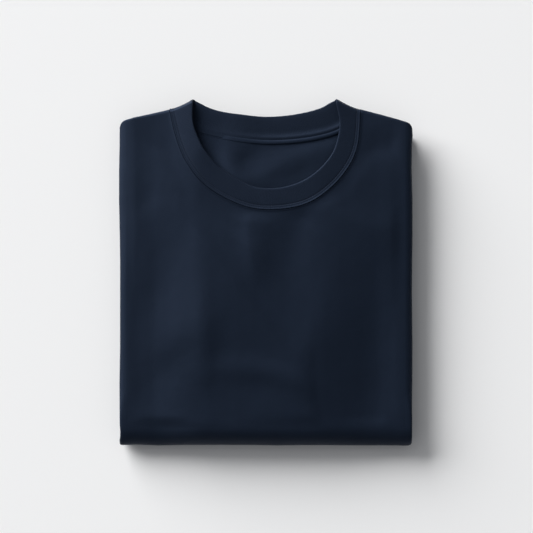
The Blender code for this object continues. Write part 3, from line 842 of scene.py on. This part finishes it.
def back_place(across, along):
    """Place pattern points of the back on its outer face, which lies underneath."""
    length = shoulder_edge(across) - along
    y, tuck = curl_at(across, length)
    travel, hem_tuck = hem_turn(FOLD_Y - y, FOLD_ARC + BACK_HEM_Y - FOLD_Y)
    share = smooth((BACK_LEVEL_UNTIL - y) / (BACK_LEVEL_UNTIL - FOLD_Y))
    depth = mix(BACK_DEPTH_AT_NECK, BACK_DEPTH_AT_FOLD, share) + JERSEY
    depth = depth + (CAD_JERSEY - JERSEY) * smooth(1 - length / (3 * FLAT_CURL))
    raised = crease_height(across, y, NECK_CREASES)
    raised = raised + share * top_relief(across, y)
    depth = depth - np.where(travel < 0, raised, 0.0)
    return place_on_fold(across, travel, depth - tuck - hem_tuck)


back_neck = neck_outline(back_seam, LEFT_SHOULDER_X, RIGHT_SHOULDER_X)
back_hem = float(fold_along - FOLD_ARC - (BACK_HEM_Y - FOLD_Y) - HEM_DEPTH)
back_left = spread(-BACK_SIDE, LEFT_SHOULDER_X - CORNER_CLEAR, BACK_SHOULDER_STEP)
back_right = spread(RIGHT_SHOULDER_X + CORNER_CLEAR, BACK_SIDE, BACK_SHOULDER_STEP)
back_outline = panel_outline(spread(-BACK_SIDE, BACK_SIDE, LIP_STEP),
                             spread(back_hem, BACK_SIDE_TOP, LIP_STEP),
                             back_right, back_neck, back_left)
back_rows = [*hem_rows(back_hem),
             *spread(back_hem + HEM_DEPTH + HEM_FINE, BACK_FINE_FROM, EDGE_STEP)[:-1],
             *spread(BACK_FINE_FROM, LATTICE_TOP, LATTICE)]
back_pattern = cut_cloth(back_outline, worked_lines(back_neck, back_left, back_right),
                         spread(-BACK_SIDE, BACK_SIDE, BACK_COLUMN), back_rows)
back_cloth = lay_cloth("back_cloth", back_pattern, back_place, JERSEY, facing_down=True)
finish_piece(back_cloth, "back_panel", navy_jersey)
back_hem_rows = [panel_line(back_place, back_hem + HEM_DEPTH + row, BACK_SIDE - STITCH_INSET, -1)
                 for row in HEM_STITCH_ROWS]
back_hem_stitches = sew("back_hem_stitches", back_hem_rows)


# ------------------------------------------------------------------- Neckband
# The collar is a strip of 1x1 rib, pressed double and sewn on as one ring.  Its fold is the
# rounded rim, and a row of topstitching holds its seam flat.

RIB = 2.2 * MM
COLLAR_FOLD_RADIUS = 3.0 * MM
COLLAR_FOLD_Z = PACKED_HEIGHT - CAD_JERSEY / 2 - COLLAR_FOLD_RADIUS
SEAM_GAP = 0.3 * MM
TURN_GAP = 0.6 * MM
LEFT_BULGE = (-0.382, 0.62)
RIGHT_BULGE = (0.397, 0.74)
TURN_HOLLOW = 1.2 * MM
LEFT_RIM_RISE = 1.5 * MM
LEFT_RIM_FROM = -42 * MM
LEFT_RIM_UNTIL = -62 * MM
COLLAR_FOLD_STEPS = 6
BAND_SAMPLES = 12
BAND_STATION = 1.5 * MM
TOPSTITCH_AT = 4.4 * MM
THREAD_SINK = 0.05 * MM
SEAM_FLAT = 0.15
SEAM_FLAT_UNTIL = -48 * MM
SEAM_FULL_FROM = 24 * MM

# Ridges and grooves across the band in mm, from its seam: rise, where, width.  Outside: the
# seam's bead, its dip, a low ridge, and the pull of the topstitching.
OUTER_RELIEF = (
    (0.55, 0.6, 1.25),
    (-0.3, 0.0, 0.35),
    (0.12, 3.3, 0.7),
    (-0.2, TOPSTITCH_AT / MM, 0.45),
)
INNER_RELIEF = (
    (0.6, 5.8, 1.9),
    (-0.45, 11.0, 3.5),
)

# Rows across the band in mm from its seam, and shares of the way from the last to the rim
OUTER_ROWS = (0.55, 0.8, 1.1, 1.5, 2.0, 2.6, 3.2, 3.8, 4.1, 4.4, 4.7, 5.1, 5.9, 7.5, 10.0, 13.0)
INNER_ROWS = (13.0, 11.0, 9.0, 7.6, 6.6, 5.6, 4.6, 3.6, 2.2, 0.9)
LAST_ROW = 13 * MM
OUTER_SHARES = (0.45, 0.8)
INNER_SHARE = 0.7
RIM_STEPS = 8


def rim_rise(x):
    """Return how far the front rim stands up on the left."""
    return LEFT_RIM_RISE * smooth((LEFT_RIM_FROM - x) / (LEFT_RIM_FROM - LEFT_RIM_UNTIL))


def band_lines():
    """Return the seam and rim of the band as matching closed rows, fold-overs included."""
    front_z = COLLAR_FOLD_Z + COLLAR_FOLD_RADIUS
    back_z = COLLAR_FOLD_Z - COLLAR_FOLD_RADIUS
    rows = []
    for seam_x, seam_y, rim_x, rim_y in np.array(FRONT_NECK) * MM:
        rows.append((seam_x, seam_y, front_z, rim_x, rim_y, front_z + rim_rise(rim_x)))
    rows += turned_over(RIGHT_SHOULDER_X, RIGHT_BULGE, FRONT_NECK[-1], BACK_NECK[0])
    for seam_x, seam_y, rim_x, rim_y in np.array(BACK_NECK) * MM:
        rows.append((seam_x, seam_y, back_z + crease_height(seam_x, seam_y, NECK_CREASES),
                     rim_x, rim_y, back_z + crease_height(rim_x, rim_y, NECK_CREASES)))
    rows += reversed(turned_over(LEFT_SHOULDER_X, LEFT_BULGE, FRONT_NECK[0], BACK_NECK[-1]))
    return np.array(rows)


def turned_over(corner_x, bulge, front_row, back_row):
    """Return the rows where the band folds over at one shoulder, front to back."""
    rows = []
    for step in range(1, COLLAR_FOLD_STEPS):
        turn = math.pi * step / COLLAR_FOLD_STEPS
        swing = COLLAR_FOLD_RADIUS * math.sin(turn)
        z = COLLAR_FOLD_Z + COLLAR_FOLD_RADIUS * math.cos(turn)
        start = front_row if turn < math.pi / 2 else back_row
        over = (1 - math.cos(turn)) / 2
        seam_x = mix(start[0] * MM, corner_x, math.sin(turn))
        seam_y = start[1] * MM + swing
        rim_x = mix(front_row[2], back_row[2], over) * MM + bulge[0] * swing
        rim_y = mix(front_row[3], back_row[3], over) * MM + bulge[1] * swing
        rows.append((seam_x, seam_y, z + over * crease_height(seam_x, seam_y, NECK_CREASES),
                     rim_x, rim_y, z + mix(rim_rise(rim_x),
                                           crease_height(rim_x, rim_y, NECK_CREASES), over)))
    return rows


def closed_curve(rows, samples):
    """Run a smooth closed curve through rows."""
    curve = []
    for i in range(len(rows)):
        four = [rows[(i + k) % len(rows)] for k in (-1, 0, 1, 2)]
        curve += [curve_point(*four, step / samples) for step in range(samples)]
    return np.array(curve)


def even_stations(rows, step):
    """Space the rows of a closed curve evenly by the length of their middle line."""
    closed = np.vstack((rows, rows[:1]))
    middle = (closed[:, :3] + closed[:, 3:]) / 2
    length = np.concatenate(([0], np.cumsum(np.linalg.norm(np.diff(middle, axis=0), axis=1))))
    count = round(length[-1] / step)
    wanted = np.linspace(0, length[-1], count, endpoint=False)
    even = np.stack([np.interp(wanted, length, closed[:, k]) for k in range(6)], axis=-1)
    return even, wanted, length[-1]


band_rows, band_run, band_length = even_stations(closed_curve(band_lines(), BAND_SAMPLES),
                                                 BAND_STATION)


def band_frames(rows):
    """Return seam, the way across, the surface's own way up and the width at each station."""
    seam, rim = rows[:, :3].copy(), rows[:, 3:]
    width = np.linalg.norm(rim - seam, axis=1)
    over = (rim - seam) / width[:, None]
    middle = (seam + rim) / 2
    run = np.roll(middle, -1, axis=0) - np.roll(middle, 1, axis=0)
    up = np.cross(run, over)
    up /= np.linalg.norm(up, axis=1)[:, None]
    return seam, over, up, width


band_seam, band_over, band_up, band_width = band_frames(band_rows)
band_facing = band_up[:, 2]
band_gap = mix(TURN_GAP, SEAM_GAP, smooth(np.abs(band_facing) * 2 - 1))


def outer_height(s):
    """Return the height of the band's outer face over its middle, s from the seam."""
    return RIB / 2 + relief(s / MM, OUTER_RELIEF)


def inner_height(s, body):
    """Return how far the band's inner face lies below its middle."""
    return RIB / 2 + relief(s / MM, INNER_RELIEF) * body


def worn_body(x):
    """Return how full the back seam is: worn flat on the left, plump on the right."""
    return mix(SEAM_FLAT, 1, smooth((x - SEAM_FLAT_UNTIL) / (SEAM_FULL_FROM - SEAM_FLAT_UNTIL)))


def band_profile(width, gap, body):
    """Return the closed cross-section as (s, height): outer face, rim, inner face."""
    round_start = width - RIB / 2
    outer = [gap, *(row * MM for row in OUTER_ROWS),
             *(mix(LAST_ROW, round_start, share) for share in OUTER_SHARES)]
    points = [(s, outer_height(s)) for s in outer]
    for step in range(RIM_STEPS + 1):
        turn = math.pi * (0.5 - step / RIM_STEPS)
        points.append((round_start + RIB / 2 * math.cos(turn), RIB / 2 * math.sin(turn)))
    inner = [mix(LAST_ROW, round_start, INNER_SHARE), *(row * MM for row in INNER_ROWS), gap]
    points += [(s, -inner_height(s, body)) for s in inner]
    return points


def add_built(name, bm):
    """Turn a finished bmesh into a named object."""
    mesh = bpy.data.meshes.new(name)
    bm.to_mesh(mesh)
    bm.free()
    return add_item(name, mesh)


def make_band():
    """Loft the rib's cross-section round the ring."""
    bm = bmesh.new()
    cloth = bm.loops.layers.uv.new("cloth")
    rings = []
    for seam, over, up, width, gap in zip(band_seam, band_over, band_up, band_width, band_gap):
        profile = band_profile(width, gap, worn_body(seam[0]))
        hollow = TURN_HOLLOW * (1 - up[2] ** 2)
        ring = []
        for s, height in profile:
            sunk = height - hollow * math.sin(math.pi * s / width)
            ring.append(bm.verts.new(seam + over * s + up * sunk))
        rings.append(ring)
    across = np.array([0, *np.cumsum([math.dist(a, b) for a, b in zip(profile, profile[1:])])])
    across = np.append(across, across[-1] + math.dist(profile[-1], profile[0]))
    run = np.append(band_run, band_length)
    count = len(rings[0])
    for i in range(len(rings)):
        here, there = rings[i], rings[(i + 1) % len(rings)]
        for k in range(count):
            after = (k + 1) % count
            face = bm.faces.new((here[k], there[k], there[after], here[after]))
            for loop, corner in zip(face.loops, ((i, k), (i + 1, k), (i + 1, k + 1), (i, k + 1))):
                loop[cloth].uv = (run[corner[0]], across[corner[1]])
    return settle(add_built("neckband_rib", bm))


# 1x1 cotton rib, deeper than the jersey.  Its real ribs are finer than 1.6 mm and would not
# show.
RIB_PITCH = 1.6 * MM
RIB_COURSE = 1.0 * MM
RIB_BUMP = 0.5
# The second rib colour is random wear and the painted light on the loops' crowns.
RIB_NAVY = "#0c1119"
RIB_WORN_AND_LIT_LOOPS = "#0f151f"

navy_rib = jersey_material("navy_cotton_rib", RIB_NAVY, RIB_WORN_AND_LIT_LOOPS, RIB_PITCH, RIB_COURSE, RIB_BUMP)
neckband_rib = make_band()
finish_piece(neckband_rib, "neckband", navy_rib)


def band_line(s):
    """Return a line round the outer face of the band, s from its seam."""
    points = band_seam + band_over * s + band_up * (float(outer_height(s)) - THREAD_SINK)
    return points, band_up, True


collar_topstitch = sew("collar_topstitch", [band_line(TOPSTITCH_AT)])


# ------------------------------------------------------------------ Neck tape
# A narrow self-fabric tape covers the back neck seam inside, sewn down along both edges.

TAPE_THICKNESS = 0.7 * MM
TAPE_WIDTH = 4 * MM
TAPE_LAP = 0.8 * MM
TAPE_CROWN = 0.2 * MM
TAPE_RISE = 0.3 * MM
TAPE_SINK = 0.3 * MM
TAPE_SHARES = (0, 0.04, 0.12, 0.22, 0.3, 0.4, 0.5, 0.6, 0.7, 0.78, 0.88, 0.96, 1)
TAPE_SAMPLES = 14

# Where it is pulled down, at both rows of stitches and both edges: rise in mm, then place
# and width as shares of the tape's width
TAPE_RELIEF = (
    (-0.12, 0.17, 0.06),
    (-0.12, 0.83, 0.06),
    (-0.25, 0.0, 0.06),
    (-0.25, 1.0, 0.06),
)


def tape_height(share):
    """Return the tape's rounded crown, pulled down at its stitches and edges."""
    return TAPE_CROWN * math.sin(math.pi * share) + relief(share, TAPE_RELIEF)


def make_tape():
    """Lay the tape over the back neck seam."""
    low_z = COLLAR_FOLD_Z - COLLAR_FOLD_RADIUS + RIB / 2
    bm = bmesh.new()
    cloth = bm.loops.layers.uv.new("cloth")
    rows = through(np.array(BACK_NECK[1:-1]) * MM, TAPE_SAMPLES)
    lines = []
    for seam_x, seam_y, rim_x, rim_y in rows:
        body = worn_body(seam_x)
        lift = crease_height(seam_x, seam_y, NECK_CREASES) + TAPE_THICKNESS * body
        lift = lift + mix(-TAPE_SINK, TAPE_RISE, body)
        seam = Vector((seam_x, seam_y, low_z + lift))
        over = Vector((rim_x - seam_x, rim_y - seam_y, 0)).normalized()
        start = seam - over * TAPE_LAP
        lines.append([bm.verts.new(start + over * TAPE_WIDTH * share
                                   + Vector((0, 0, tape_height(share) * body)))
                      for share in TAPE_SHARES])
    run = np.concatenate(([0], np.cumsum(np.linalg.norm(np.diff(rows[:, :2], axis=0), axis=1))))
    for i, (here, there) in enumerate(zip(lines, lines[1:])):
        for k in range(len(TAPE_SHARES) - 1):
            face = bm.faces.new((here[k], here[k + 1], there[k + 1], there[k]))
            corners = ((i, k), (i, k + 1), (i + 1, k + 1), (i + 1, k))
            for loop, (station, step) in zip(face.loops, corners):
                loop[cloth].uv = (run[station], TAPE_SHARES[step] * TAPE_WIDTH)
    bmesh.ops.recalc_face_normals(bm, faces=bm.faces)
    if bm.faces[0].normal.z < 0:
        bmesh.ops.reverse_faces(bm, faces=bm.faces)
    item = add_built("back_neck_tape", bm)
    fullness = item.vertex_groups.new(name="fullness")
    for vert in item.data.vertices:
        fullness.add([vert.index], float(worn_body(vert.co.x)), "REPLACE")
    wall = item.modifiers.new("Wall", "SOLIDIFY")
    wall.thickness = TAPE_THICKNESS
    wall.offset = -1
    wall.vertex_group = fullness.name
    return settle(item)


# Tape cut from the same jersey, a touch lighter.  Its loops are drawn 0.9 mm apart instead
# of 0.7 mm, to show at all.
TAPE_WALE = 0.9 * MM
TAPE_COURSE = 0.8 * MM
# The second tape colour is random wear and the painted light on the loops' crowns.
TAPE_NAVY = "#0e141d"
TAPE_WORN_AND_LIT_LOOPS = "#121925"

navy_tape = jersey_material("navy_jersey_tape", TAPE_NAVY, TAPE_WORN_AND_LIT_LOOPS, TAPE_WALE, TAPE_COURSE,
                            JERSEY_BUMP)
neck_tape = make_tape()
finish_piece(neck_tape, "neck_tape", navy_tape)


# -------------------------------------------------------------------- Sleeves
# Each short sleeve lies flat between the two halves, folded round its outer edge, with its
# cuff hem turned in towards the lower fold.

SLEEVE_HEIGHT = 3.4 * MM
SLEEVE_PLY = 0.8 * MM
SLEEVE_INNER = 118 * MM
SLEEVE_TOP_Y = 143 * MM
SLEEVE_CUFF_Y = -72 * MM
SLEEVE_TOP_REACH = 146 * MM
SLEEVE_CUFF_REACH = 139 * MM
SLEEVE_FLAT = SLEEVE_TOP_REACH - SLEEVE_HEIGHT / 2 - SLEEVE_INNER
SLEEVE_STEP = 4 * MM
SLEEVE_FINE = 3 * MM
SLEEVE_FINE_STEP = 0.5 * MM


def sleeve_place(side):
    """Return how a sleeve's pattern points are placed, on the left or right."""
    radius = SLEEVE_HEIGHT / 2

    def place(around, along):
        share = (along - SLEEVE_CUFF_Y) / (SLEEVE_TOP_Y - SLEEVE_CUFF_Y)
        reach = mix(SLEEVE_CUFF_REACH, SLEEVE_TOP_REACH, smooth(share))
        centre = reach - radius
        turn = np.clip(around / radius, -np.pi / 2, np.pi / 2)
        flat = np.maximum(np.abs(around) - radius * np.pi / 2, 0)
        x = centre + radius * np.cos(turn) - flat * (centre - SLEEVE_INNER) / SLEEVE_FLAT
        return np.stack((side * x, along, HALF_HEIGHT + radius * np.sin(turn)), axis=-1)

    return place


sleeve_half = SLEEVE_HEIGHT / 2 * math.pi / 2 + SLEEVE_FLAT
sleeve_rows = spread(SLEEVE_CUFF_Y, SLEEVE_TOP_Y, SLEEVE_STEP)
sleeve_columns = [*spread(-sleeve_half, -SLEEVE_FINE, SLEEVE_STEP)[:-1],
                  *spread(-SLEEVE_FINE, SLEEVE_FINE, SLEEVE_FINE_STEP),
                  *spread(SLEEVE_FINE, sleeve_half, SLEEVE_STEP)[1:]]
sleeve_outline = [*[(x, SLEEVE_CUFF_Y) for x in sleeve_columns[:-1]],
                  *[(sleeve_half, y) for y in sleeve_rows[:-1]],
                  *[(x, SLEEVE_TOP_Y) for x in reversed(sleeve_columns[1:])],
                  *[(-sleeve_half, y) for y in reversed(sleeve_rows[1:])]]
sleeve_pattern = cut_cloth(sleeve_outline, [], sleeve_columns, sleeve_rows)
for sleeve_name, node, side in (("left_sleeve_cloth", "left_sleeve", -1),
                                ("right_sleeve_cloth", "right_sleeve", 1)):
    sleeve = lay_cloth(sleeve_name, sleeve_pattern, sleeve_place(side), SLEEVE_PLY,
                       facing_down=side > 0)
    finish_piece(sleeve, node, navy_jersey)
    cuff_rows = [panel_line(sleeve_place(side), SLEEVE_CUFF_Y + row,
                            sleeve_half - STITCH_INSET, side) for row in HEM_STITCH_ROWS]
    cuff_stitches = sew(sleeve_name.replace("cloth", "cuff_stitches"), cuff_rows)


# --------------------------------------------------------------- Hidden plies
# The sides turned in behind the front lie between the two halves as loose, flat plies with
# round edges.  Only their edges show, in the gap at the shoulders' end.

# In mm: bottom and top of each ply, half width, ends towards the fold and the shoulders
PLIES = (
    (3.9, 5.0, 137.4, -155, 134),
    (5.2, 6.6, 136.0, -154, 133),
    (7.7, 8.8, 136.8, -155.5, 136.5),
    (9.0, 10.1, 135.2, -154, 134.5),
    (10.8, 11.9, 114.6, -154.5, 137.5),
    (12.2, 13.4, 113.0, -153, 135.5),
    (14.6, 15.8, 114.8, -154.5, 141.5),
    (16.0, 17.2, 113.6, -153, 139.0),
    (17.9, 19.5, 136.6, -155.5, 138.6),
)
PLY_CORNER = 12 * MM
PLY_CORNER_STEPS = 6
PLY_EDGE_STEPS = 6


def ply_outline(half_width, low_y, high_y, inset, z):
    """Return a rounded rectangle at one height, drawn in by an inset."""
    outline = []
    reach = PLY_CORNER - inset
    centres = ((half_width, high_y, 0), (-half_width, high_y, 1),
               (-half_width, low_y, 2), (half_width, low_y, 3))
    for x, y, quarter in centres:
        corner_x = x - math.copysign(PLY_CORNER, x)
        corner_y = y - math.copysign(PLY_CORNER, y)
        for step in range(PLY_CORNER_STEPS + 1):
            turn = (quarter + step / PLY_CORNER_STEPS) * math.pi / 2
            outline.append((corner_x + reach * math.cos(turn),
                            corner_y + reach * math.sin(turn), z))
    return outline


def make_plies():
    """Stack the plies, each a thin slab with a half-round edge."""
    bm = bmesh.new()
    for low, high, half_width, low_y, high_y in np.array(PLIES) * MM:
        radius = (high - low) / 2
        rings = []
        for step in range(PLY_EDGE_STEPS + 1):
            turn = math.pi * (step / PLY_EDGE_STEPS - 0.5)
            outline = ply_outline(half_width, low_y, high_y, radius * (1 - math.cos(turn)),
                                  (low + high) / 2 + radius * math.sin(turn))
            rings.append([bm.verts.new(point) for point in outline])
        for lower, upper in zip(rings, rings[1:]):
            for i in range(len(lower)):
                after = (i + 1) % len(lower)
                bm.faces.new((lower[i], lower[after], upper[after], upper[i]))
        bm.faces.new(reversed(rings[0]))
        bm.faces.new(rings[-1])
    cloth = bm.loops.layers.uv.new("cloth")
    for face in bm.faces:
        for loop in face.loops:
            loop[cloth].uv = loop.vert.co.xy
    return settle(add_built("turned_in_plies", bm))


turned_in_plies = make_plies()
finish_piece(turned_in_plies, "folded_core", navy_jersey)


# ------------------------------------------------------ Floor, light and camera
# The shirt lies on a board painted matt white.  A wide, low softbox lights it from the upper
# left, a weak higher one softens the shadow, and a dim even surround fills the rest.

FLOOR_SIZE = 4.0
VIEW_WIDTH = 546.2 * MM
VIEW_CENTRE = (0.5 * MM, 6.3 * MM)
LENS = 200.0
SENSOR = 36.0
LIGHT_AZIMUTH = math.radians(134)
LIGHT_DISTANCE = 20.0

# Softboxes: name, elevation in degrees, width and height in metres, power in watts
SOFTBOXES = (
    ("low_softbox", 18.5, 20.0, 11.5, 9560.0),
    ("high_softbox", 44.0, 18.0, 12.0, 330.0),
)
SURROUND = 0.25
SURROUND_WHITE = "#f4f6fa"
BOARD_WHITE = "#f5f5f5"

bpy.ops.mesh.primitive_plane_add(size=FLOOR_SIZE)
floor = bpy.context.object
floor.name = "table_top"
painted = bpy.data.materials.new("matt_white_board")
painted.use_nodes = True
paint = painted.node_tree.nodes["Principled BSDF"].inputs
paint["Base Color"].default_value = (*linear(BOARD_WHITE), 1)
paint["Roughness"].default_value = 0.9
paint["Specular IOR Level"].default_value = 0.1
floor.data.materials.append(painted)


def add_softbox(name, elevation, width, height, power):
    """Hang a wide softbox that faces the shirt from the upper left."""
    lamp = bpy.data.lights.new(name, "AREA")
    lamp.shape = "ELLIPSE"
    lamp.size = width
    lamp.size_y = height
    lamp.energy = power
    stand = bpy.data.objects.new(name, lamp)
    towards = Vector((math.cos(LIGHT_AZIMUTH) * math.cos(elevation),
                      math.sin(LIGHT_AZIMUTH) * math.cos(elevation),
                      math.sin(elevation)))
    stand.location = towards * LIGHT_DISTANCE
    stand.rotation_euler = towards.to_track_quat("Z", "Y").to_euler()
    bpy.context.scene.collection.objects.link(stand)


for lamp_name, lamp_elevation, lamp_width, lamp_height, lamp_power in SOFTBOXES:
    add_softbox(lamp_name, math.radians(lamp_elevation), lamp_width, lamp_height, lamp_power)

surround = bpy.data.worlds.new("studio_surround")
surround.use_nodes = True
background = surround.node_tree.nodes["Background"].inputs
background["Color"].default_value = (*linear(SURROUND_WHITE), 1)
background["Strength"].default_value = SURROUND
bpy.context.scene.world = surround

camera = bpy.data.cameras.new("overhead")
camera.lens = LENS
camera.sensor_width = SENSOR
camera_stand = bpy.data.objects.new("overhead", camera)
camera_stand.location = (*VIEW_CENTRE, PACKED_HEIGHT + VIEW_WIDTH * LENS / SENSOR)
bpy.context.scene.collection.objects.link(camera_stand)
bpy.context.scene.camera = camera_stand
bpy.context.scene.view_settings.view_transform = "Standard"
